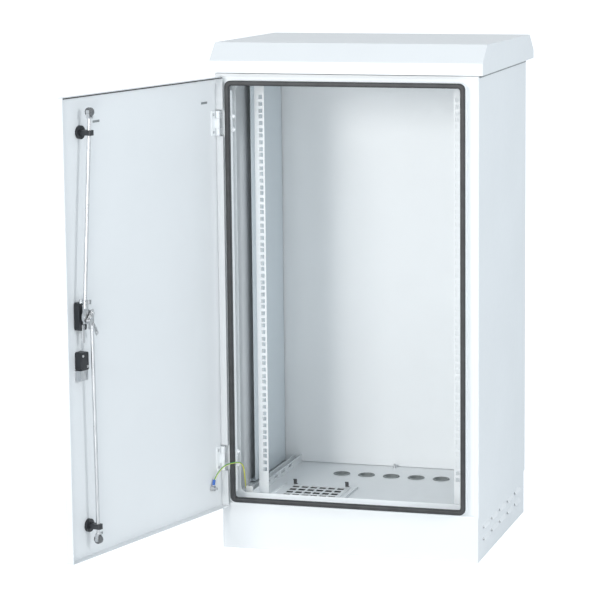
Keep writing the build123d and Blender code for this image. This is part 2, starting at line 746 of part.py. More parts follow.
bracket = slab(housing_x - housing_width / 2 - 1, housing_x + housing_width / 2 + 1, skin_in,
               skin_in + bracket_depth,
               bracket_top - bracket_height, bracket_top)
bracket -= slab(housing_x - housing_width / 2 + 1, housing_x + housing_width / 2 - 1, skin_in + 2,
                skin_in + bracket_depth - 2,
                bracket_top - bracket_height - 1, bracket_top + 1)
keep("housing_bracket", opened(bracket))

# Spindle with its cam plate and two pins
cam_y0 = rod_y - rod_plate_thickness / 2 - 0.5 - cam_thickness
plate_out = -door_front - handle_plate_thickness


def cam_pin_place(side):
    """Middle of a cam pin at rest, side 1 for the upper rod's and -1 for the lower rod's."""
    a = radians(cam_rest_angle)
    return lock_x + side * cam_radius * cos(a), lock_z + side * cam_radius * sin(a)


hub_front = plate_out - 0.5 - lever_lift_gap - lever_thickness
spindle = rod_along_y(lock_x, lock_z, hub_front, cam_y0, spindle_radius)
spindle += rod_along_y(lock_x, lock_z, cam_y0, cam_y0 + cam_thickness, cam_plate_radius)
for side in (-1, 1):
    px, pz = cam_pin_place(side)
    spindle += rod_along_y(px, pz, cam_y0 + cam_thickness, rod_y + rod_plate_thickness / 2 + 2,
                           cam_pin_radius)
keep("lock_cam", opened(spindle))
hub = rod_along_y(lock_x, lock_z, hub_front, plate_out - 0.5, hub_radius)
lever_y0 = hub_front
lever_y1 = hub_front + lever_thickness
lever_pin_x = lock_x - lever_pin_offset
lever_pin_y = (lever_y0 + lever_y1) / 2
tongue_half = lever_tongue / 2
tongue = slab(lever_pin_x, lock_x - hub_radius + 3, lever_y0 + 1, lever_y1 - 1, lock_z - tongue_half,
              lock_z + tongue_half)
tongue += rod_z(lever_pin_x, lever_pin_y, lock_z - tongue_half, lock_z + tongue_half, lever_thickness / 2 - 1)
hub = hub + tongue
hub -= rod_along_y(lock_x, lock_z, hub_front - 1, plate_out, spindle_radius)
hub -= rod_z(lever_pin_x, lever_pin_y, lock_z - lever_width, lock_z + lever_width, lever_pin_radius)
keep("handle_hub", opened(hub))

# Lever, lying across the door at rest, with a fork round the hub's tongue
lever_end_x = lock_x - lever_length
lever = slab(lever_end_x, lever_pin_x, lever_y0, lever_y1, lock_z - lever_width / 2, lock_z + lever_width / 2)
lever = fillet(lever.edges().filter_by(Axis.Y).group_by(Axis.X)[0], lever_width / 2 - 1)
lever = fillet(lever.edges().filter_by(lambda e: abs(e.center().Y - lever_y0) < 0.01), 2)
lever += rod_z(lever_pin_x, lever_pin_y, lock_z - lever_width / 2 + 2, lock_z + lever_width / 2 - 2,
               lever_thickness / 2 - 1)
lever -= slab(lever_pin_x - lever_thickness / 2 - 3, lever_pin_x + lever_thickness, lever_y0 - 1,
              lever_y1 + 1,
              lock_z - tongue_half - 0.4, lock_z + tongue_half + 0.4)
lever -= rod_z(lever_pin_x, lever_pin_y, lock_z - lever_width, lock_z + lever_width, lever_pin_radius + 0.05)
lever -= rod_along_y(lock_x - (lock_z - housing_z), lock_z, lever_y0 - 1, lever_y1 + 1, barrel_radius + 2)
keep("handle_lever", opened(lever))
keep("lever_pin", opened(rod_z(lever_pin_x, lever_pin_y, lock_z - lever_width / 2 + 2,
                               lock_z + lever_width / 2 - 2,
                               lever_pin_radius)))

# Handle plate on the outside and the lock barrel in it
plate = slab(lock_x - handle_plate_width / 2, lock_x + handle_plate_width / 2, plate_out, -door_front,
             handle_plate_bottom, handle_plate_top)
plate = fillet(plate.edges().filter_by(Axis.Y), handle_plate_width / 2 - 2)
plate = fillet(plate.edges().filter_by(lambda e: abs(e.center().Y - plate_out) < 0.01), 1.2)
plate += rod_along_y(lock_x, housing_z, plate_out - barrel_proud + 0.5, plate_out, barrel_radius + 3)
plate -= rod_along_y(lock_x, lock_z, plate_out - 1, -door_front + 1, spindle_radius + spindle_clearance)
plate -= rod_along_y(lock_x, housing_z, plate_out - 5, -door_front + 1, barrel_radius + barrel_clearance)
keep("handle_plate", opened(plate))
barrel_front = plate_out - barrel_proud
barrel = rod_along_y(lock_x, housing_z, barrel_front, barrel_end, barrel_radius)
barrel -= slab(lock_x - barrel_slot_width / 2, lock_x + barrel_slot_width / 2, barrel_front - 1,
               barrel_front + 4,
               housing_z - 4, housing_z + 4)
keep("lock_barrel", opened(barrel))


# Rods: a round bar with a slotted plate at the cam and a fork for the roller
def rod_line(upper):
    """Foot and head of a rod's centre line at rest, as (x, z)."""
    if upper:
        foot = (lock_x + rod_foot_offset, cam_pin_place(1)[1] + rod_plate_height * 0.6)
        return foot, (upper_rod_head_x, roller_top_z)
    foot = (lock_x - rod_foot_offset, cam_pin_place(-1)[1] - rod_plate_height * 0.6)
    return foot, (lower_rod_head_x, roller_bottom_z)


def rod_direction(upper):
    """Unit vector of a rod's line, from the cam to the roller, as (x, z)."""
    (x0, z0), (x1, z1) = rod_line(upper)
    length = hypot(x1 - x0, z1 - z0)
    return (x1 - x0) / length, (z1 - z0) / length


def lock_rod(upper):
    """One rod, shut position, rods drawn back."""
    side = 1 if upper else -1
    (x0, z0), (x1, z1) = rod_line(upper)
    ux, uz = rod_direction(upper)
    length = hypot(x1 - x0, z1 - z0)
    fork = roller_radius + 4
    bar = Pos(0, 0, (length - fork) / 2) * Cylinder(rod_radius, length - fork)
    inner = roller_width / 2 + roller_side_gap
    bar += Pos(0, 0, length - fork + 1.5) * Box(2 * (inner + roller_cheek), 2 * rod_radius, 3)
    for s in (-1, 1):
        cheek = Pos(s * (inner + roller_cheek / 2), 0, length - fork / 2 + 1.75)
        bar += cheek * Box(roller_cheek, 2 * rod_radius, fork + 3.5)
    bar -= Pos(0, 0, length) * Rot(0, 90, 0) * Cylinder(roller_pin_radius, 4 * roller_radius)
    tilt = Plane(origin=(x0, rod_y, z0), x_dir=(uz * side, 0, -ux * side), z_dir=(ux, 0, uz))
    bar = tilt.location * bar
    px, pz = cam_pin_place(side)
    half_t = rod_plate_thickness / 2
    near = lock_x + side * 1.5
    far = x0 + side * (rod_radius + 2)
    x_low, x_high = min(near, far), max(near, far)
    z_pin_side = pz - side * (cam_pin_radius + cam_pin_play + 3)
    z_far = pz + side * rod_plate_height * 0.8
    plate = slab(x_low, x_high, rod_y - half_t, rod_y + half_t, min(z_pin_side, z_far), max(z_pin_side,
                                                                                            z_far))
    slot_in = lock_x + side * 3.8
    slot_out = lock_x + side * (cam_radius + cam_pin_radius + 1.2)
    slot_half = cam_pin_radius + cam_pin_play
    plate -= slab(min(slot_in, slot_out), max(slot_in, slot_out), rod_y - half_t - 1, rod_y + half_t + 1,
                  pz - slot_half, pz + slot_half)
    return bar + plate


def roller_pieces(upper):
    """Roller and its pin at the rod's head, shut position."""
    (x0, z0), (x1, z1) = rod_line(upper)
    ux, uz = rod_direction(upper)
    side = 1 if upper else -1
    tilt = Plane(origin=(x1, rod_y, z1), x_dir=(uz * side, 0, -ux * side), z_dir=(ux, 0, uz))
    half = roller_width / 2
    wheel = Rot(0, 90, 0) * (Cylinder(roller_radius,
                                      roller_width) - Cylinder(roller_pin_radius + pin_clearance,
                                                               4 * roller_radius))
    pin = Rot(0, 90, 0) * Cylinder(roller_pin_radius, 2 * (half + roller_side_gap + roller_cheek))
    pin += Pos(half + roller_side_gap + roller_cheek + 0.75, 0, 0) * Rot(0, 90,
                                                                         0) * Cylinder(roller_pin_radius + 1.5, 1.5)
    return tilt.location * wheel, tilt.location * pin


for upper, tag in ((True, "upper"), (False, "lower")):
    keep("lock_rod_" + tag, opened(lock_rod(upper)))
    wheel, pin = roller_pieces(upper)
    keep("roller_" + tag, opened(wheel))
    keep("roller_pin_" + tag, opened(pin))


def rod_x_at(upper, z):
    """Where a rod's line is at a height."""
    (x0, z0), (x1, z1) = rod_line(upper)
    return x0 + (x1 - x0) * (z - z0) / (z1 - z0)


def rod_guide(upper, z):
    """Plastic guide: a round base on the door's skin and an arm with an eye for the rod."""
    x = rod_x_at(upper, z)
    ux, uz = rod_direction(upper)
    reach = rod_y + rod_radius + guide_clearance + guide_wall
    guide = rod_along_y(x, z, skin_in, skin_in + guide_base_thickness, guide_base_radius)
    arm = slab(x - guide_arm_width / 2, x + guide_arm_width / 2, skin_in + guide_base_thickness, reach,
               z - guide_arm_height / 2, z + guide_arm_height / 2)
    guide += fillet(arm.edges().filter_by(Axis.Z).group_by(Axis.Y)[-1], 4)
    eye = Plane(origin=(x, rod_y, z), z_dir=(ux, 0, uz)).location * Cylinder(rod_radius + guide_clearance,
                                                                             4 * guide_base_radius)
    return guide - eye


guides = [opened(rod_guide(z > lock_z, z)) for z in guide_heights]
keep("rod_guides", Compound(guides))

# Earthing: a stud on the floor and one on the door, each with a crimped lug, and the wire between them
def earth_stud():
    """Stud along Z with a nut under the lug and one over it."""
    stud = rod_z(0, 0, 0, lug_lift, earth_nut_radius) + rod_z(0, 0, 0, cabinet_stud_length, earth_stud_radius)
    over = lug_lift + lug_thickness
    return stud + rod_z(0, 0, over, over + earth_nut_height, earth_nut_radius)


def earth_lug():
    """Ring lug lying on the XY plane above the lower nut, its barrel along +X."""
    lug = rod_z(0, 0, lug_lift, lug_lift + lug_thickness, lug_radius)
    middle = lug_lift + lug_thickness / 2
    lug += rod_along_x(0, middle, lug_radius - 0.3, lug_radius + lug_barrel_length, lug_barrel_radius)
    lug -= rod_z(0, 0, 0, over_stud, earth_stud_radius)
    return lug - rod_along_x(0, middle, lug_radius + 1, lug_radius + lug_barrel_length + 1, wire_radius)


over_stud = cabinet_stud_length + 1
wire_middle = lug_lift + lug_thickness / 2
cabinet_seat = Plane(origin=(cabinet_stud_x, cabinet_stud_y, floor_top), x_dir=(0.3, -1, 0), z_dir=(0, 0,
                                                                                                    1)).location
door_seat = Plane(origin=(door_stud_x, skin_in, door_stud_z), x_dir=(-0.3, 0, 1), z_dir=(0, 1, 0)).location
keep("earth_stud_cabinet", cabinet_seat * earth_stud())
keep("earth_lug_cabinet", cabinet_seat * earth_lug())
keep("earth_stud_door", opened(door_seat * earth_stud()))
keep("earth_lug_door", opened(door_seat * earth_lug()))


def wire_points(seat):
    """Where the wire ends in a lug, and a point straight out of its barrel."""
    places = (lug_radius + 1, lug_radius + lug_barrel_length + wire_lead)
    return [(seat * Pos(x, 0, wire_middle) * Vertex(0, 0, 0)).center() for x in places]


turned = Pos(pin_x, pin_y, 0) * Rot(0, 0, -open_angle) * Pos(-pin_x, -pin_y, 0)
wire_start, wire_out = wire_points(turned * door_seat)
wire_end, wire_in = wire_points(cabinet_seat)
wire_route = [wire_start, wire_out, (-296, -38, 193), (-285, -33, 204), (-270, -28, 209), (-258, -17, 209),
              (-255, -1, 203), (-255, 14, 190), (-258, 30, 165), (-263, 50, 140), (-269, 74,
                                                                                   124), wire_in, wire_end]


def wire_tube():
    """The wire: straight runs joined by the largest arcs that they allow."""
    points = [Vector(p) for p in wire_route]
    radii = []
    for before, corner, after in zip(points, points[1:], points[2:]):
        turn = (corner - before).get_angle(after - corner)
        run = min((corner - before).length, (after - corner).length)
        radii.append(0.45 * run / tan(radians(turn / 2)))
    path = FilletPolyline(*points, radius=radii)
    print("wire length", round(path.length, 1), "smallest bend", round(min(radii), 1))
    return sweep(Plane(origin=path @ 0, z_dir=path % 0) * Circle(wire_radius), path)


keep("earth_wire", wire_tube())
for name, shape in nodes.items():
    export_step(Pos(0, -body_depth / 2, 0) * shape, "parts/" + name + ".step")
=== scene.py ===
import logging
import math
from dataclasses import dataclass, field
from enum import Enum
from typing import Iterator, Sequence

import bmesh
import bpy
from mathutils import Matrix, Vector


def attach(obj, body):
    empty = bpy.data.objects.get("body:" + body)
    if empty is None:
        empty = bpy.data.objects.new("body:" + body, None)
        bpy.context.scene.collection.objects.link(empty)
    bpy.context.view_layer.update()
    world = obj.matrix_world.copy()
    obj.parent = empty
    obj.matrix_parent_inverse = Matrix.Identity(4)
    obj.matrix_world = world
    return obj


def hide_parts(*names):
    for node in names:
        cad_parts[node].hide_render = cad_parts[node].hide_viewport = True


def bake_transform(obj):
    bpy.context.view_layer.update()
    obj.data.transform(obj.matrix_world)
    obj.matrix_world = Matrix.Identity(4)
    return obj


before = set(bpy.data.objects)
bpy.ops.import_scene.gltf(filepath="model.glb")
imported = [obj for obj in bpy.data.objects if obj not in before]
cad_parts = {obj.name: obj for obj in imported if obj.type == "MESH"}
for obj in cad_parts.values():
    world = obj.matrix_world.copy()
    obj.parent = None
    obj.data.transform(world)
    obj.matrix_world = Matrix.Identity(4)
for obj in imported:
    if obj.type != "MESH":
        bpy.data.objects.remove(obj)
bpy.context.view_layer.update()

MM = 0.001
LOG = logging.getLogger("cabinet")
Point = tuple[float, float, float]
Colour = tuple[float, float, float]

# The part is drawn in millimetres, with y = 0 at the body's front plane and the door shut.
BODY_SHIFT: float = -254.0
HINGE_PIN: tuple[float, float] = (-296.0, -13.0)
OPEN_ANGLE: float = 105.0
HINGE_MIDDLES: tuple[tuple[float, str], ...] = ((216.0, "lower"), (993.0, "upper"))

# The ways that fittings face: up, inwards from the left of the mouth, and off the shut door's inner skin.
UP: Point = (0.0, 0.0, 1.0)
INWARDS: Point = (1.0, 0.0, 0.0)
OFF_SKIN: Point = (0.0, 1.0, 0.0)
ORIGIN: Point = (0.0, 0.0, 0.0)

# The middle range of a noise pattern.
NOISE_LOW: float = 0.3
NOISE_HIGH: float = 0.7

# A finish with the record's slot, as seat takes them.
TURNED_ZINC: tuple[str, str] = ("turned_zinc", "zinc_steel")
INNER_COAT: tuple[str, str] = ("inner_coat", "inner_coat")
GREY_RUBBER: tuple[str, str] = ("grey_rubber", "grey_rubber")


class Body(Enum):
    """The bodies that pieces ride on."""

    CABINET = "cabinet"
    DOOR = "door"
    HANDLE = "handle_hub"
    UPPER_ROD = "upper_rod"
    LOWER_ROD = "lower_rod"


class Shader:
    """A principled material under construction, patterned on object coordinates."""

    def __init__(self, name: str) -> None:
        """Start a material.

        Args:
            name: The material's name.
        """
        self.material = bpy.data.materials.new(name)
        self.material.use_nodes = True
        self.nodes = self.material.node_tree.nodes
        self.links = self.material.node_tree.links
        self.principled = self.nodes["Principled BSDF"]
        self.place = self.nodes.new("ShaderNodeTexCoord")

    def set(self, **values: float | tuple) -> None:
        """Set sockets of the shader by name, with underscores for spaces."""
        for key, value in values.items():
            self.principled.inputs[key.replace("_", " ")].default_value = value

    def noise(self, scale: float, detail: float, stretch: Point = (1.0, 1.0, 1.0)) -> bpy.types.NodeSocket:
        """Add a noise pattern.

        Args:
            scale: Features per metre.
            detail: Octaves.
            stretch: Scale along each axis, for drawn or brushed grain.

        Returns:
            The noise value's output socket.
        """
        mapping = self.nodes.new("ShaderNodeMapping")
        mapping.inputs["Scale"].default_value = stretch
        self.links.new(self.place.outputs["Object"], mapping.inputs["Vector"])
        noise = self.nodes.new("ShaderNodeTexNoise")
        noise.inputs["Scale"].default_value = scale
        noise.inputs["Detail"].default_value = detail
        self.links.new(mapping.outputs["Vector"], noise.inputs["Vector"])
        return noise.outputs["Fac"]

    def ramp(self, factor: bpy.types.NodeSocket,
             stops: Sequence[tuple[float, Colour]]) -> bpy.types.NodeSocket:
        """Turn a value into a colour.

        Args:
            factor: The value's socket.
            stops: Pairs of position and colour.

        Returns:
            The colour's output socket.
        """
        ramp = self.nodes.new("ShaderNodeValToRGB")
        elements = ramp.color_ramp.elements
        while len(elements) < len(stops):
            elements.new(position=0.5)
        for element, (position, colour) in zip(elements, stops):
            element.position = position
            element.color = (*colour, 1.0)
        self.links.new(factor, ramp.inputs["Fac"])
        return ramp.outputs["Color"]

    def spread(self, factor: bpy.types.NodeSocket, low: float, high: float) -> bpy.types.NodeSocket:
        """Map a pattern from its middle range to a span of values.

        Args:
            factor: The pattern's socket.
            low: The value at the low end of the middle range.
            high: The value at its high end.

        Returns:
            The mapped value's output socket.
        """
        span = self.nodes.new("ShaderNodeMapRange")
        ends = (("From Min", NOISE_LOW), ("From Max", NOISE_HIGH), ("To Min", low), ("To Max", high))
        for key, value in ends:
            span.inputs[key].default_value = value
        self.links.new(factor, span.inputs["Value"])
        return span.outputs["Result"]

    def relief(self, height: bpy.types.NodeSocket, strength: float, depth: float) -> bpy.types.NodeSocket:
        """Add a bump layer.

        Args:
            height: The pattern's socket.
            strength: From 0 to 1.
            depth: The relief's real depth in metres.

        Returns:
            The normal's output socket.
        """
        bump = self.nodes.new("ShaderNodeBump")
        bump.inputs["Strength"].default_value = strength
        bump.inputs["Distance"].default_value = depth
        self.links.new(height, bump.inputs["Height"])
        return bump.outputs["Normal"]

    def wire(self, socket: bpy.types.NodeSocket, target: str) -> None:
        """Link a socket to one of the shader's inputs."""
        self.links.new(socket, self.principled.inputs[target])


@dataclass(frozen=True)
class PowderCoat:
    """Baked powder coat on sheet steel: even tone, fine orange peel, soft gloss."""

    name: str
    colour: Colour
    roughness: float = 0.42
    grain: float = 900.0
    depth: float = 0.00006
    drift: float = 0.012
    broad_scale: float = 3.5
    gloss_scale: float = 60.0
    gloss_swing: float = 0.05
    peel: float = 0.35
    specular: float = 0.45

    def build(self) -> bpy.types.Material:
        """Make the material."""
        shader = Shader(self.name)
        darker = tuple(c * (1 - self.drift * 2) for c in self.colour)
        lighter = tuple(min(1.0, c * (1 + self.drift)) for c in self.colour)
        broad = shader.noise(self.broad_scale, detail=3.0)
        shader.wire(shader.ramp(broad, [(NOISE_LOW, darker), (NOISE_HIGH, lighter)]), "Base Color")
        fine = shader.noise(self.grain, detail=3.0)
        gloss = shader.noise(self.gloss_scale, detail=4.0)
        low, high = self.roughness - self.gloss_swing, self.roughness + self.gloss_swing
        shader.wire(shader.spread(gloss, low, high), "Roughness")
        shader.wire(shader.relief(fine, self.peel, self.depth), "Normal")
        shader.set(Specular_IOR_Level=self.specular)
        return shader.material


@dataclass(frozen=True)
class ZincSteel:
    """Zinc plated or galvanised steel, drawn or rolled along one axis."""

    name: str
    colour: Colour = (0.66, 0.67, 0.68)
    dark: Colour = (0.46, 0.48, 0.50)
    stretch: Point = (1.0, 1.0, 0.04)
    roughness: float = 0.34
    streak_scale: float = 700.0
    streak_stops: tuple[float, float] = (0.25, 0.62)
    streak_depth: float = 0.00004
    wear_scale: float = 120.0
    smoother: float = 0.08
    rougher: float = 0.1
    metallic: float = 0.95

    def build(self) -> bpy.types.Material:
        """Make the material."""
        shader = Shader(self.name)
        streaks = shader.noise(self.streak_scale, detail=4.0, stretch=self.stretch)
        stops = list(zip(self.streak_stops, (self.dark, self.colour)))
        shader.wire(shader.ramp(streaks, stops), "Base Color")
        wear = shader.noise(self.wear_scale, detail=3.0)
        low, high = self.roughness - self.smoother, self.roughness + self.rougher
        shader.wire(shader.spread(wear, low, high), "Roughness")
        shader.wire(shader.relief(streaks, strength=0.25, depth=self.streak_depth), "Normal")
        shader.set(Metallic=self.metallic)
        return shader.material


@dataclass(frozen=True)
class Moulded:
    """Moulded plastic or rubber with a fine spark-eroded grain."""

    name: str
    colour: Colour
    worn: Colour
    roughness: float = 0.5
    grain: float = 1600.0
    depth: float = 0.00005
    specular: float = 0.5
    mottle_scale: float = 45.0
    mottle_stops: tuple[float, float] = (0.3, 0.75)
    smoother: float = 0.06
    rougher: float = 0.08

    def build(self) -> bpy.types.Material:
        """Make the material."""
        shader = Shader(self.name)
        mottle = shader.noise(self.mottle_scale, detail=5.0)
        stops = list(zip(self.mottle_stops, (self.colour, self.worn)))
        shader.wire(shader.ramp(mottle, stops), "Base Color")
        fine = shader.noise(self.grain, detail=4.0)
        low, high = self.roughness - self.smoother, self.roughness + self.rougher
        shader.wire(shader.spread(fine, low, high), "Roughness")
        shader.wire(shader.relief(fine, strength=0.4, depth=self.depth), "Normal")
        shader.set(Specular_IOR_Level=self.specular)
        return shader.material


@dataclass(frozen=True)
class StripedSheath:
    """Two-colour cable insulation, its stripe running along the piece's UV map."""

    name: str
    main: Colour = (0.70, 0.68, 0.10)
    stripe: Colour = (0.06, 0.30, 0.08)
    stripe_end: float = 0.13
    main_start: float = 0.16
    fold: float = 0.5
    grain: float = 1500.0
    depth: float = 0.00003

    def build(self) -> bpy.types.Material:
        """Make the material."""
        shader = Shader(self.name)
        split = shader.nodes.new("ShaderNodeSeparateXYZ")
        shader.links.new(shader.place.outputs["UV"], split.inputs["Vector"])
        wave = shader.nodes.new("ShaderNodeMath")
        wave.operation = "PINGPONG"
        wave.inputs[1].default_value = self.fold
        shader.links.new(split.outputs["X"], wave.inputs[0])
        stops = [(0.0, self.stripe), (self.stripe_end, self.stripe),
                 (self.main_start, self.main), (1.0, self.main)]
        shader.wire(shader.ramp(wave.outputs[0], stops), "Base Color")
        fine = shader.noise(self.grain, detail=3.0)
        shader.wire(shader.spread(fine, low=0.34, high=0.46), "Roughness")
        shader.wire(shader.relief(fine, strength=0.2, depth=self.depth), "Normal")
        return shader.material


@dataclass
class Finishes:
    """All the finishes of the cabinet, built once and shared."""

    outer_coat: PowderCoat = PowderCoat("outer coat", (0.775, 0.79, 0.80))
    inner_coat: PowderCoat = PowderCoat("inner coat", (0.84, 0.86, 0.87), roughness=0.36, grain=700.0)
    # The liner coat's blue tint is painted shade: it stands in for the bluish shade on the side liners inside
    # the cabinet.
    liner_coat_painted_shade: PowderCoat = PowderCoat("liner coat with painted shade", (0.80, 0.86, 0.895), roughness=0.36, grain=700.0)
    rail_coat: PowderCoat = PowderCoat("rail coat", (0.84, 0.86, 0.87), roughness=0.34, grain=1200.0)
    dark_coat: PowderCoat = PowderCoat("handle coat", (0.035, 0.036, 0.038), roughness=0.46, drift=0.1)
    zinc: ZincSteel = ZincSteel("zinc plated steel")
    turned_zinc: ZincSteel = ZincSteel("turned zinc steel", stretch=(1.0, 1.0, 1.0), roughness=0.3)
    copper: ZincSteel = ZincSteel("tinned copper", (0.72, 0.71, 0.69), (0.5, 0.49, 0.47),
                                  stretch=(1.0, 1.0, 1.0), roughness=0.3)
    rubber: Moulded = Moulded("gasket rubber", (0.022, 0.023, 0.025), (0.04, 0.042, 0.045),
                              roughness=0.5, grain=900.0, depth=0.00008)
    black_plastic: Moulded = Moulded("black moulding", (0.016, 0.018, 0.021), (0.03, 0.033, 0.038), 0.42)
    roller_plastic: Moulded = Moulded("roller moulding", (0.10, 0.105, 0.11), (0.15, 0.155, 0.16), 0.38)
    white_plastic: Moulded = Moulded("white moulding", (0.78, 0.79, 0.79), (0.84, 0.84, 0.83), 0.36)
    dark_plastic: Moulded = Moulded("clip moulding", (0.05, 0.055, 0.058), (0.08, 0.085, 0.09), 0.48)
    grey_rubber: Moulded = Moulded("grommet rubber", (0.20, 0.22, 0.22), (0.30, 0.32, 0.32), 0.55)
    pale_rubber: Moulded = Moulded("grommet membrane", (0.42, 0.45, 0.45), (0.52, 0.55, 0.55), 0.5)
    filter_felt: Moulded = Moulded("filter felt", (0.030, 0.034, 0.034), (0.06, 0.065, 0.065),
                                   roughness=0.8, grain=500.0, depth=0.0004)
    blue_sleeve: Moulded = Moulded("blue sleeve", (0.02, 0.10, 0.42), (0.04, 0.15, 0.52), 0.38)
    sheath: StripedSheath = StripedSheath("earth wire sheath")
    made: dict[str, bpy.types.Material] = field(default_factory=dict)

    def get(self, name: str) -> bpy.types.Material:
        """The material of a finish, by its field name."""
        if name not in self.made:
            self.made[name] = getattr(self, name).build()
        return self.made[name]


NODE_FINISH: dict[str, tuple[str, ...]] = {
    "outer_coat": ("side_panel_left", "side_panel_right", "rear_panel", "top_panel", "roof_cover",
                   "door_panel", "plinth_front_panel", "plinth_rear_panel", "plinth_side_panel_left",
                   "plinth_side_panel_right"),
    "inner_coat": ("front_frame", "inner_frame", "floor_panel", "rear_liner"),
    # The side liners take the coat with the painted bluish shade.
    "liner_coat_painted_shade": ("side_liner_left", "side_liner_right"),
    "rail_coat": ("rack_rail_left", "rack_rail_right", "depth_bar_lower_left", "depth_bar_lower_right",
                  "depth_bar_upper_left", "depth_bar_upper_right", "hinge_leaf_lower", "hinge_leaf_upper",
                  "hinge_plate_lower", "hinge_plate_upper", "floor_grille", "filter_rails"),
    "dark_coat": ("handle_plate", "handle_hub", "handle_lever"),
    "zinc": ("lock_rod_lower", "lock_rod_upper", "plinth_corners", "housing_bracket"),
    "turned_zinc": ("plinth_bolts", "roof_bolts", "roof_spacers", "rail_bolts", "hinge_pins", "lock_cam",
                    "lever_pin", "lock_barrel", "roller_pin_lower", "roller_pin_upper", "floor_stud",
                    "earth_stud_cabinet", "earth_stud_door"),
    "copper": ("earth_lug_cabinet", "earth_lug_door"),
    "rubber": ("door_gasket",),
    "black_plastic": ("rod_guides", "lock_case", "cylinder_housing"),
    "roller_plastic": ("roller_lower", "roller_upper"),
    "dark_plastic": ("filter_clips",),
    "grey_rubber": ("cable_grommets",),
}


def dress_nodes(finishes: Finishes) -> None:
    """Give every frame node that is shown its finish.

    Args:
        finishes: The shared finishes.
    """
    for finish, nodes in NODE_FINISH.items():
        for node in nodes:
            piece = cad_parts[node]
            piece.data.materials.clear()
            piece.data.materials.append(finishes.get(finish))
    LOG.info("dressed %d nodes", sum(len(nodes) for nodes in NODE_FINISH.values()))


@dataclass
class EarthWire:
    """Green and yellow wire from the door's lug, over the lip, down to the stud on the floor."""

    radius: float = 1.5 * MM
    sides: int = 14
    resolution: int = 10
    order: int = 3
    route: tuple[Point, ...] = ()

    def centreline(self) -> list[Vector]:
        """Points along the smooth line that the route's control points give."""
        curve = bpy.data.curves.new("wire line", "CURVE")
        curve.dimensions = "3D"
        curve.resolution_u = self.resolution
        spline = curve.splines.new("NURBS")
        spline.points.add(len(self.route) - 1)
        for point, place in zip(spline.points, self.route):
            point.co = (*place, 1.0)
        spline.order_u = self.order
        spline.use_endpoint_u = True
        holder = bpy.data.objects.new("wire line", curve)
        bpy.context.collection.objects.link(holder)
        mesh = bpy.data.meshes.new_from_object(holder)
        points = [vertex.co.copy() for vertex in mesh.vertices]
        bpy.data.objects.remove(holder)
        bpy.data.meshes.remove(mesh)
        return points

    def build(self, finishes: Finishes) -> bpy.types.Object:
        """Model the tube along the line, with a UV map that runs round and along it.

        Args:
            finishes: The shared finishes.

        Returns:
            The wire.
        """
        line = self.centreline()
        shape = bmesh.new()
        rings = []
        side = Vector(UP)
        for index, place in enumerate(line):
            ahead = line[min(index + 1, len(line) - 1)] - line[max(index - 1, 0)]
            ahead.normalize()
            side = (side - ahead * side.dot(ahead)).normalized()
            other = ahead.cross(side)
            turn = [2 * math.pi * k / self.sides for k in range(self.sides)]
            rings.append([shape.verts.new(place + (side * math.cos(a) + other * math.sin(a)) * self.radius)
                          for a in turn])
        uv = shape.loops.layers.uv.new("UVMap")
        for index, (low, high) in enumerate(zip(rings, rings[1:])):
            for k in range(self.sides):
                n = (k + 1) % self.sides
                face = shape.faces.new((low[k], low[n], high[n], high[k]))
                face.smooth = True
                for loop, (u, v) in zip(face.loops, ((k, 0), (k + 1, 0), (k + 1, 1), (k, 1))):
                    loop[uv].uv = (u / self.sides, (index + v) / len(rings))
        shape.faces.new(reversed(rings[0]))
        shape.faces.new(rings[-1])
        shape.normal_update()
        mesh = bpy.data.meshes.new("earth_wire_tube")
        shape.to_mesh(mesh)
        shape.free()
        wire = bpy.data.objects.new("earth_wire_tube", mesh)
        bpy.context.collection.objects.link(wire)
        mesh.materials.append(finishes.get("sheath"))
        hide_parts("earth_wire")
        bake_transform(wire)
        return wire


@dataclass(frozen=True)
class Place:
    """A place on the cabinet or the shut door in the drawing's millimetres, and the way a fitting faces."""

    at: Point
    facing: Point
    body: Body = Body.CABINET

    def matrix(self) -> Matrix:
        """Where the fitting goes at rest, its Z axis along the facing and the door's pieces swung open."""
        turn = Vector(UP).rotation_difference(Vector(self.facing)).to_matrix().to_4x4()
        spot = Matrix.Translation(Vector(self.at) * MM) @ turn
        back = Matrix.Translation((0.0, BODY_SHIFT * MM, 0.0))
        if self.body is Body.CABINET:
            return back @ spot
        pin = Matrix.Translation(Vector((*HINGE_PIN, 0.0)) * MM)
        swing = Matrix.Rotation(-math.radians(OPEN_ANGLE), 4, "Z")
        return back @ pin @ swing @ pin.inverted() @ spot


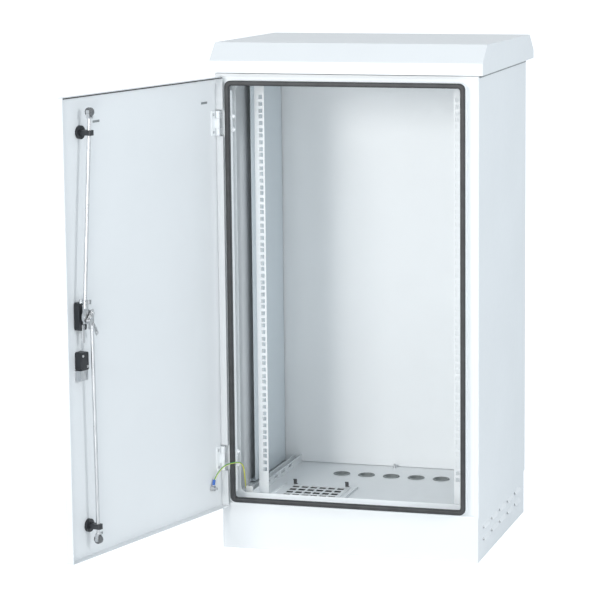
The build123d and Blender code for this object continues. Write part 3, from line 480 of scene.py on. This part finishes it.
class Workshop:
    """Makes small pieces with modelling operations at the origin and seats them, sizes in millimetres.

    The radii of a nut and its washer are shares of the width across its flats, and the measures of a
    screw's socket are shares of the head's radius or height.
    """

    edge_angle: float = 35.0
    washer_radius: float = 0.62
    washer_height: float = 1.0
    hexagon_radius: float = 0.577
    stud_sunk: float = 0.2
    socket_radius: float = 0.52
    socket_height: float = 0.2
    socket_base: float = 0.98
    socket_rim: float = 0.1
    socket_depth: float = 0.15

    def __init__(self, finishes: Finishes) -> None:
        """Keep the finishes at hand.

        Args:
            finishes: The shared finishes.
        """
        self.finishes = finishes

    def disc(self, radius: float, height: float, base: float = 0.0, sides: int = 28) -> bpy.types.Object:
        """A cylinder standing on the given base height."""
        bpy.ops.object.select_all(action="DESELECT")
        bpy.ops.mesh.primitive_cylinder_add(vertices=sides, radius=radius * MM, depth=height * MM,
                                            location=(0.0, 0.0, (base + height / 2) * MM))
        bpy.ops.object.transform_apply(location=True, rotation=True, scale=True)
        return bpy.context.active_object

    def block(self, size: Point, centre: Point = ORIGIN) -> bpy.types.Object:
        """A box with its middle at the given place."""
        bpy.ops.object.select_all(action="DESELECT")
        bpy.ops.mesh.primitive_cube_add(size=1.0, location=tuple(c * MM for c in centre))
        piece = bpy.context.active_object
        piece.scale = tuple(c * MM for c in size)
        bpy.ops.object.transform_apply(location=True, rotation=True, scale=True)
        return piece

    def plate(self, size: Point, edge: float) -> bpy.types.Object:
        """A plate that stands on the origin's plane, with its edges rounded."""
        return self.soften(self.block(size, (0.0, 0.0, size[2] / 2)), edge)

    def pick(self, pieces: Sequence[bpy.types.Object]) -> None:
        """Select these pieces alone, with the first of them active."""
        bpy.ops.object.select_all(action="DESELECT")
        for piece in pieces:
            piece.select_set(True)
        bpy.context.view_layer.objects.active = pieces[0]

    def soften(self, piece: bpy.types.Object, width: float, segments: int = 2) -> bpy.types.Object:
        """Round the piece's sharp edges by the given width."""
        self.pick([piece])
        bevel = piece.modifiers.new("edge", "BEVEL")
        bevel.width = width * MM
        bevel.segments = segments
        bevel.limit_method = "ANGLE"
        bevel.angle_limit = math.radians(self.edge_angle)
        bpy.ops.object.modifier_apply(modifier=bevel.name)
        return piece

    def recess(self, piece: bpy.types.Object, margin: float, depth: float) -> bpy.types.Object:
        """Inset the piece's top face and push it down."""
        self.pick([piece])
        bpy.ops.object.mode_set(mode="EDIT")
        bpy.ops.mesh.select_mode(type="FACE")
        bpy.ops.mesh.select_all(action="DESELECT")
        shape = bmesh.from_edit_mesh(piece.data)
        top = max(shape.faces, key=lambda face: (round(face.calc_center_median().z, 6), face.calc_area()))
        top.select = True
        bmesh.update_edit_mesh(piece.data)
        bpy.ops.mesh.inset(thickness=margin * MM)
        bpy.ops.mesh.extrude_region_move(TRANSFORM_OT_translate={"value": (0.0, 0.0, -depth * MM)})
        bpy.ops.object.mode_set(mode="OBJECT")
        return piece

    def hex_nut(self, across: float, height: float, stud: float, rise: float) -> bpy.types.Object:
        """A washer, a hexagon nut on it and the end of its stud.

        Args:
            across: The nut's width across its flats.
            height: The nut's height.
            stud: The stud's radius.
            rise: The height of the stud's end.

        Returns:
            The joined piece.
        """
        washer = self.soften(self.disc(across * self.washer_radius, self.washer_height), width=0.2)
        nut = self.disc(across * self.hexagon_radius, height, base=self.washer_height, sides=6)
        nut = self.soften(nut, width=0.45)
        end = self.disc(stud, rise, base=self.washer_height + height - self.stud_sunk, sides=20)
        return self.join([washer, nut, self.soften(end, width=0.4)])

    def socket_screw(self, radius: float, height: float) -> bpy.types.Object:
        """A low screw head with a hexagon socket."""
        head = self.soften(self.disc(radius, height), width=0.35)
        socket = self.disc(radius * self.socket_radius, height * self.socket_height,
                           base=height * self.socket_base, sides=6)
        socket = self.recess(socket, margin=radius * self.socket_rim, depth=height * self.socket_depth)
        return self.join([head, socket])

    def join(self, parts: Sequence[bpy.types.Object]) -> bpy.types.Object:
        """Join parts into the first of them."""
        self.pick(parts)
        bpy.ops.object.join()
        return parts[0]

    def seat(self, piece: bpy.types.Object, name: str, place: Place, finish: str, slot: str = "") -> None:
        """Name, place, dress and attach a piece.

        Args:
            piece: The piece, modelled at the origin.
            name: Its name.
            place: Where it goes and on which body.
            finish: The finish's field name.
            slot: Not used.
        """
        piece.name = name
        piece.data.transform(place.matrix())
        piece.data.materials.clear()
        piece.data.materials.append(self.finishes.get(finish))
        for face in piece.data.polygons:
            face.use_smooth = False
        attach(piece, place.body.value)


def hinge_places(spread: float) -> Iterator[tuple[str, float]]:
    """Tags and heights of a fitting above and below the middle of each hinge."""
    for middle, tag in HINGE_MIDDLES:
        for sign, end in ((-1, "a"), (1, "b")):
            yield f"{tag}_{end}", middle + sign * spread


@dataclass(frozen=True)
class CabinetFittings:
    """Fasteners and small trim on the cabinet, sizes in millimetres."""

    mouth_x: float = 267.6
    mouth_top: float = 1079.0
    return_sheet: float = 1.2
    return_depth: float = 16.0
    return_front: float = -9.0
    return_gap: float = 0.5
    left_return: float = 930.0
    left_return_middle: float = 602.0
    top_return: float = 462.0
    top_return_middle: float = -28.0
    hinge_nut_spread: float = 15.0
    hinge_nut_y: float = -1.0
    hinge_nut_gap: float = 0.1
    floor_top: float = 107.0
    grommet_xs: tuple[float, ...] = (-114.0, -52.0, 10.0, 72.0, 134.0)
    grommet_y: float = 352.0
    membrane_radius: float = 12.5
    membrane_sheet: float = 0.8
    membrane_drop: float = 6.3
    half_width: float = 306.0
    half_depth: float = 254.0
    # A grey strip under each side of the roof's edge is painted shadow: it stands in for the dark shadow line
    # of the gap there.
    roof_shadow_strip_size: Point = (1.2, 500.0, 4.0)
    roof_shadow_strip_clearance: float = 0.05
    roof_shadow_strip_height: float = 1102.6
    bar_middle: float = 256.0
    bar_front: float = 60.0
    cap_size: Point = (16.0, 5.0, 29.0)
    cap_gap: float = 0.3
    mat_centre: tuple[float, float] = (-127.0, 138.0)
    mat_size: Point = (138.0, 144.0, 5.0)
    mat_drop: float = 2.4

    def build(self, shop: Workshop) -> None:
        """Make and seat the cabinet's fittings.

        Args:
            shop: The workshop.
        """
        self.mouth_returns(shop)
        for tag, height in hinge_places(self.hinge_nut_spread):
            nut = shop.hex_nut(across=9.0, height=4.6, stud=2.5, rise=3.0)
            spot = (-self.mouth_x + self.hinge_nut_gap, self.hinge_nut_y, height)
            shop.seat(nut, f"hinge_nut_{tag}", Place(spot, INWARDS), *INNER_COAT)
        mat = shop.soften(shop.block(self.mat_size), width=1.0)
        spot = (*self.mat_centre, self.floor_top - self.mat_drop - self.mat_size[2] / 2)
        shop.seat(mat, "filter_mat", Place(spot, UP), "filter_felt", "black_plastic")
        for side, tag in ((-1, "left"), (1, "right")):
            self.shadow_strip_and_cap(shop, side, tag)
        for index, x in enumerate(self.grommet_xs):
            membrane = shop.disc(self.membrane_radius, self.membrane_sheet)
            membrane = shop.recess(membrane, margin=3.0, depth=0.4)
            spot = (x, self.grommet_y, self.floor_top - self.membrane_drop)
            shop.seat(membrane, f"grommet_membrane_{index}", Place(spot, UP), "pale_rubber", "grey_rubber")

    def mouth_returns(self, shop: Workshop) -> None:
        """The white edges behind the gasket, at the left and at the top of the mouth."""
        middle_y = self.return_front + self.return_depth / 2
        edge = shop.soften(shop.block((self.return_sheet, self.return_depth, self.left_return)), width=0.4)
        spot = (-self.mouth_x - self.return_gap, middle_y, self.left_return_middle)
        shop.seat(edge, "mouth_return_left", Place(spot, UP), *INNER_COAT)
        edge = shop.soften(shop.block((self.top_return, self.return_depth, self.return_sheet)), width=0.4)
        spot = (self.top_return_middle, middle_y, self.mouth_top + self.return_gap)
        shop.seat(edge, "mouth_return_top", Place(spot, UP), *INNER_COAT)

    def shadow_strip_and_cap(self, shop: Workshop, side: int, tag: str) -> None:
        """A grey strip under the roof's edge, painted shadow for the dark gap line there, and the cap on the
        depth bar's end, on one side.
        """
        # This strip is painted shadow for the gap line under the roof.
        strip = shop.soften(shop.block(self.roof_shadow_strip_size), width=0.3)
        roof_shadow_strip_x = self.half_width + self.roof_shadow_strip_clearance + self.roof_shadow_strip_size[0] / 2
        spot = (side * roof_shadow_strip_x, self.half_depth, self.roof_shadow_strip_height)
        shop.seat(strip, f"roof_gap_shadow_strip_{tag}", Place(spot, UP), *GREY_RUBBER)
        cap = shop.soften(shop.block(self.cap_size), width=1.2, segments=3)
        spot = (side * self.bar_middle, self.bar_front - self.cap_size[1] / 2,
                self.floor_top + self.cap_gap + self.cap_size[2] / 2)
        shop.seat(cap, f"bar_end_cap_{tag}", Place(spot, UP), "white_plastic", "white_plastic")


@dataclass(frozen=True)
class DoorFittings:
    """Fasteners, plugs and lock trim on the door, sizes in millimetres in the shut door's place.

    An offset runs across the door, off its skin and up, from the middle of the lock or the housing.
    """

    skin: float = -21.0
    lock: tuple[float, float] = (242.0, 630.0)
    housing: tuple[float, float] = (246.0, 534.0)
    case_screws: tuple[Point, ...] = ((3.0, 16.0, -23.0), (3.0, 14.0, 23.0))
    housing_screws: tuple[Point, ...] = ((-8.0, 18.0, -12.0), (8.0, 18.0, 12.0))
    plugs: tuple[tuple[float, float], ...] = ((163.0, 1037.0), (185.0, 142.0), (-252.0, 1042.0))
    plug_size: Point = (24.0, 5.0, 0.8)
    hinge_screw_x: float = -284.5
    hinge_screw_spread: float = 20.0
    leaf_sheet: float = 3.0
    rim: float = -4.0
    # The black strip at the door's top edge is painted shadow for the shadow line at the top flange.
    top_shadow_line_gap: float = 0.55
    top_shadow_line_size: Point = (604.0, 1.0, 2.6)
    door_top: float = 1097.0
    cam_pin_reach: float = 9.9
    bridge_width: float = 11.0
    bridge_sheet: float = 2.0
    bridge_angle: float = 45.0
    bridge_offset: Point = (0.0, 29.5, 0.0)
    cross_size: Point = (4.0, 26.0, 9.0)
    cross_end_size: Point = (9.0, 4.0, 9.0)
    cross_end_reach: float = 11.0
    cross_offset: Point = (11.5, 27.0, 34.0)
    stop_size: Point = (9.0, 40.0, 2.0)
    stop_offset: Point = (4.0, 14.0, -37.0)
    link_size: Point = (9.0, 30.0, 2.0)
    link_lean: float = 32.0
    link_offset: Point = (-20.0, 27.5, -29.0)
    rivet_radius: float = 2.6
    rivet_height: float = 1.4
    rivet_reach: float = 11.0
    stud: tuple[float, float] = (-256.0, 152.0)
    stud_rise: float = 5.0
    lug_lean: Point = (-0.3, 0.0, 1.0)
    sleeve_start: float = 7.2
    sleeve_radius: float = 3.3
    sleeve_length: float = 13.0

    def beside(self, middle: tuple[float, float], offset: Point, body: Body = Body.DOOR,
               facing: Point = OFF_SKIN) -> Place:
        """A place at an offset from a middle on the door's skin."""
        return Place((middle[0] + offset[0], self.skin + offset[1], middle[1] + offset[2]), facing, body)

    def build(self, shop: Workshop) -> None:
        """Make and seat the door's fittings.

        Args:
            shop: The workshop.
        """
        for index, plug in enumerate(self.plugs):
            piece = shop.plate(self.plug_size, edge=0.35)
            shop.seat(piece, f"slot_plug_{index}", self.beside(plug, ORIGIN), *GREY_RUBBER)
        screws = [self.beside(self.lock, offset) for offset in self.case_screws]
        screws += [self.beside(self.housing, offset) for offset in self.housing_screws]
        for index, place in enumerate(screws):
            shop.seat(shop.socket_screw(radius=2.8, height=1.6), f"lock_screw_{index}", place, *TURNED_ZINC)
        for tag, height in hinge_places(self.hinge_screw_spread):
            place = Place((self.hinge_screw_x, self.skin + self.leaf_sheet, height), OFF_SKIN, Body.DOOR)
            shop.seat(shop.socket_screw(radius=3.2, height=1.6), f"hinge_screw_{tag}", place, *TURNED_ZINC)
        # The black strip along the door's top edge is painted shadow: it stands in for the dark shadow line
        # at the door's top flange.
        trim = shop.soften(shop.block(self.top_shadow_line_size), width=0.35)
        place = Place((0.0, self.rim + self.top_shadow_line_gap, self.door_top - self.top_shadow_line_size[2] / 2), UP, Body.DOOR)
        shop.seat(trim, "door_top_shadow_line", place, "rubber", "black_rubber")
        self.cam_bridge(shop)
        self.lock_irons(shop)
        self.sleeve(shop)

    def cam_bridge(self, shop: Workshop) -> None:
        """The plate that keeps both rods on the cam's pins, with a nut on each pin and one in the middle."""
        length = self.cam_pin_reach * 2 + self.bridge_width
        bar = shop.plate((length, self.bridge_width, self.bridge_sheet), edge=0.5)
        bar.data.transform(Matrix.Rotation(math.radians(self.bridge_angle), 4, "Z"))
        top = self.bridge_sheet * MM
        middle = shop.hex_nut(across=11.0, height=4.0, stud=3.0, rise=1.5)
        middle.data.transform(Matrix.Translation((0.0, 0.0, top)))
        parts = [bar, middle]
        reach = self.cam_pin_reach / math.sqrt(2)
        for sign in (-1, 1):
            nut = shop.hex_nut(across=7.0, height=2.6, stud=2.0, rise=1.0)
            nut.data.transform(Matrix.Translation((sign * reach * MM, sign * reach * MM, top)))
            parts.append(nut)
        place = self.beside(self.lock, self.bridge_offset, Body.HANDLE)
        shop.seat(shop.join(parts), "cam_bridge", place, *TURNED_ZINC)

    def lock_irons(self, shop: Workshop) -> None:
        """The cross-piece on the upper rod's foot, the stop below the lock case and the lower rod's link."""
        cross = shop.soften(shop.block(self.cross_size), width=0.8)
        ends = [shop.block(self.cross_end_size, (0.0, side * self.cross_end_reach, 0.0)) for side in (-1, 1)]
        cross = shop.join([cross, *[shop.soften(end, width=0.8) for end in ends]])
        place = self.beside(self.lock, self.cross_offset, Body.UPPER_ROD, UP)
        shop.seat(cross, "rod_cross_piece", place, *TURNED_ZINC)
        stop = shop.plate(self.stop_size, edge=0.6)
        shop.seat(stop, "lock_stop", self.beside(self.lock, self.stop_offset), "zinc", "zinc_steel")
        lean = Matrix.Rotation(math.radians(self.link_lean), 4, "Z")
        link = shop.plate(self.link_size, edge=0.6)
        link.data.transform(lean)
        parts = [link]
        for end in (-1, 1):
            rivet = shop.disc(self.rivet_radius, self.rivet_height, base=self.link_size[2], sides=20)
            rivet = shop.soften(rivet, width=0.4)
            rivet.data.transform(lean @ Matrix.Translation((0.0, end * self.rivet_reach * MM, 0.0)))
            parts.append(rivet)
        place = self.beside(self.lock, self.link_offset, Body.LOWER_ROD)
        shop.seat(shop.join(parts), "lower_rod_link", place, *TURNED_ZINC)

    def sleeve(self, shop: Workshop) -> None:
        """The blue insulating sleeve on the door lug's barrel."""
        lean = Vector(self.lug_lean).normalized()
        start = Vector((self.stud[0], self.skin + self.stud_rise, self.stud[1])) + lean * self.sleeve_start
        tube = shop.soften(shop.disc(self.sleeve_radius, self.sleeve_length, sides=24), width=0.9, segments=3)
        shop.seat(tube, "lug_sleeve_door", Place(tuple(start), tuple(lean), Body.DOOR), "blue_sleeve")


@dataclass(frozen=True)
class Softbox:
    """A square soft light, its side in metres and its power in watts."""

    name: str
    place: Point
    target: Point
    side: float
    power: float
    colour: Colour

    def add(self) -> None:
        """Put the light into the scene, facing its target."""
        data = bpy.data.lights.new(self.name, "AREA")
        data.size = self.side
        data.energy = self.power
        data.color = self.colour
        light = bpy.data.objects.new(self.name, data)
        light.location = self.place
        aim = Vector(self.target) - Vector(self.place)
        light.rotation_euler = aim.to_track_quat("-Z", "Y").to_euler()
        bpy.context.collection.objects.link(light)


class Studio:
    """Floor, lights and the camera at the photograph's viewing angle."""

    camera_place: Point = (1.6064, -6.0070, 1.5707)
    yaw: float = 0.2900
    pitch: float = 0.1617
    roll: float = -0.0107
    lens_mm: float = 160.29
    sensor_mm: float = 36.0
    clip_end: float = 200.0
    softboxes: tuple[Softbox, ...] = (
        Softbox("front left key", (-1.60, -5.6, 2.1), (0.15, 0.2, 0.55), 1.3, 130.0, (1.0, 0.985, 0.965)),
        Softbox("right fill", (4.4, -1.9, 2.2), (0.0, -0.3, 0.7), 0.6, 66.0, (0.95, 0.98, 1.0)),
        Softbox("low front fill", (0.5, -5.2, 0.35), (0.05, 0.2, 1.15), 0.9, 40.0, (1.0, 0.995, 0.985)),
    )
    sky_colour: Colour = (0.83, 0.925, 1.0)
    sky_strength: float = 0.72
    floor_side: float = 160.0
    floor_tones: tuple[Colour, Colour] = ((0.90, 0.90, 0.90), (0.92, 0.92, 0.92))
    floor_glow: float = 0.6

    def camera(self) -> None:
        """Create the camera and make it the scene's own."""
        across = Vector((math.cos(self.yaw), math.sin(self.yaw), 0.0))
        ahead = Vector((-math.sin(self.yaw) * math.cos(self.pitch), math.cos(self.yaw) * math.cos(self.pitch),
                        -math.sin(self.pitch)))
        above = across.cross(ahead)
        right = across * math.cos(self.roll) + above * math.sin(self.roll)
        up = above * math.cos(self.roll) - across * math.sin(self.roll)
        data = bpy.data.cameras.new("camera")
        data.lens = self.lens_mm
        data.sensor_width = self.sensor_mm
        data.clip_end = self.clip_end
        camera = bpy.data.objects.new("camera", data)
        turn = Matrix((right, up, -ahead)).transposed().to_4x4()
        camera.matrix_world = Matrix.Translation(Vector(self.camera_place)) @ turn
        bpy.context.collection.objects.link(camera)
        bpy.context.scene.camera = camera

    def lights(self) -> None:
        """Place the softboxes and the pale surroundings, which show as white behind the cabinet."""
        for softbox in self.softboxes:
            softbox.add()
        world = bpy.data.worlds.new("surroundings")
        world.use_nodes = True
        bpy.context.scene.world = world
        nodes = world.node_tree.nodes
        links = world.node_tree.links
        glow = nodes["Background"]
        glow.inputs["Color"].default_value = (*self.sky_colour, 1.0)
        glow.inputs["Strength"].default_value = self.sky_strength
        shown = nodes.new("ShaderNodeBackground")
        shown.inputs["Color"].default_value = (1.0, 1.0, 1.0, 1.0)
        shown.inputs["Strength"].default_value = 1.0
        path = nodes.new("ShaderNodeLightPath")
        seen = path.outputs["Is Camera Ray"]
        for ray in ("Is Glossy Ray", "Is Transmission Ray"):
            either = nodes.new("ShaderNodeMath")
            either.operation = "MAXIMUM"
            links.new(seen, either.inputs[0])
            links.new(path.outputs[ray], either.inputs[1])
            seen = either.outputs[0]
        mix = nodes.new("ShaderNodeMixShader")
        links.new(seen, mix.inputs["Fac"])
        links.new(glow.outputs[0], mix.inputs[1])
        links.new(shown.outputs[0], mix.inputs[2])
        links.new(mix.outputs[0], nodes["World Output"].inputs["Surface"])

    def floor(self) -> None:
        """Lay a pale floor that keeps the cabinet's shadow and is white towards the camera."""
        bpy.ops.object.select_all(action="DESELECT")
        bpy.ops.mesh.primitive_plane_add(size=self.floor_side, location=ORIGIN)
        floor = bpy.context.active_object
        floor.name = "studio_floor"
        shader = Shader("studio floor")
        stops = list(zip((NOISE_LOW, NOISE_HIGH), self.floor_tones))
        tone = shader.ramp(shader.noise(scale=0.8, detail=2.0), stops)
        shader.wire(tone, "Base Color")
        shader.set(Roughness=0.9, Specular_IOR_Level=0.1)
        path = shader.nodes.new("ShaderNodeLightPath")
        gain = shader.nodes.new("ShaderNodeMath")
        gain.operation = "MULTIPLY"
        gain.inputs[1].default_value = self.floor_glow
        shader.links.new(path.outputs["Is Camera Ray"], gain.inputs[0])
        shader.set(Emission_Color=(1.0, 1.0, 1.0, 1.0))
        shader.wire(gain.outputs[0], "Emission Strength")
        floor.data.materials.append(shader.material)

    def build(self) -> None:
        """Set up the whole studio."""
        self.camera()
        self.lights()
        self.floor()
        bpy.context.scene.view_settings.view_transform = "Standard"


WIRE_ROUTE: tuple[Point, ...] = (
    (-0.3087, -0.3028, 0.1592), (-0.3076, -0.2986, 0.1736), (-0.2960, -0.2920, 0.1930),
    (-0.2850, -0.2870, 0.2040), (-0.2700, -0.2820, 0.2090), (-0.2580, -0.2710, 0.2090),
    (-0.2550, -0.2550, 0.2030), (-0.2550, -0.2400, 0.1900), (-0.2580, -0.2240, 0.1650),
    (-0.2630, -0.2040, 0.1400), (-0.2690, -0.1800, 0.1240), (-0.2695, -0.1576, 0.1120),
    (-0.2738, -0.1432, 0.1120),
)


def main() -> None:
    """Build the looks in order and log how many nodes were dressed."""
    logging.basicConfig(level=logging.INFO, format="%(name)s: %(message)s")
    finishes = Finishes()
    Studio().build()
    dress_nodes(finishes)
    EarthWire(route=WIRE_ROUTE).build(finishes)
    shop = Workshop(finishes)
    CabinetFittings().build(shop)
    DoorFittings().build(shop)
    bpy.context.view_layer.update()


if __name__ == "__main__":
    main()
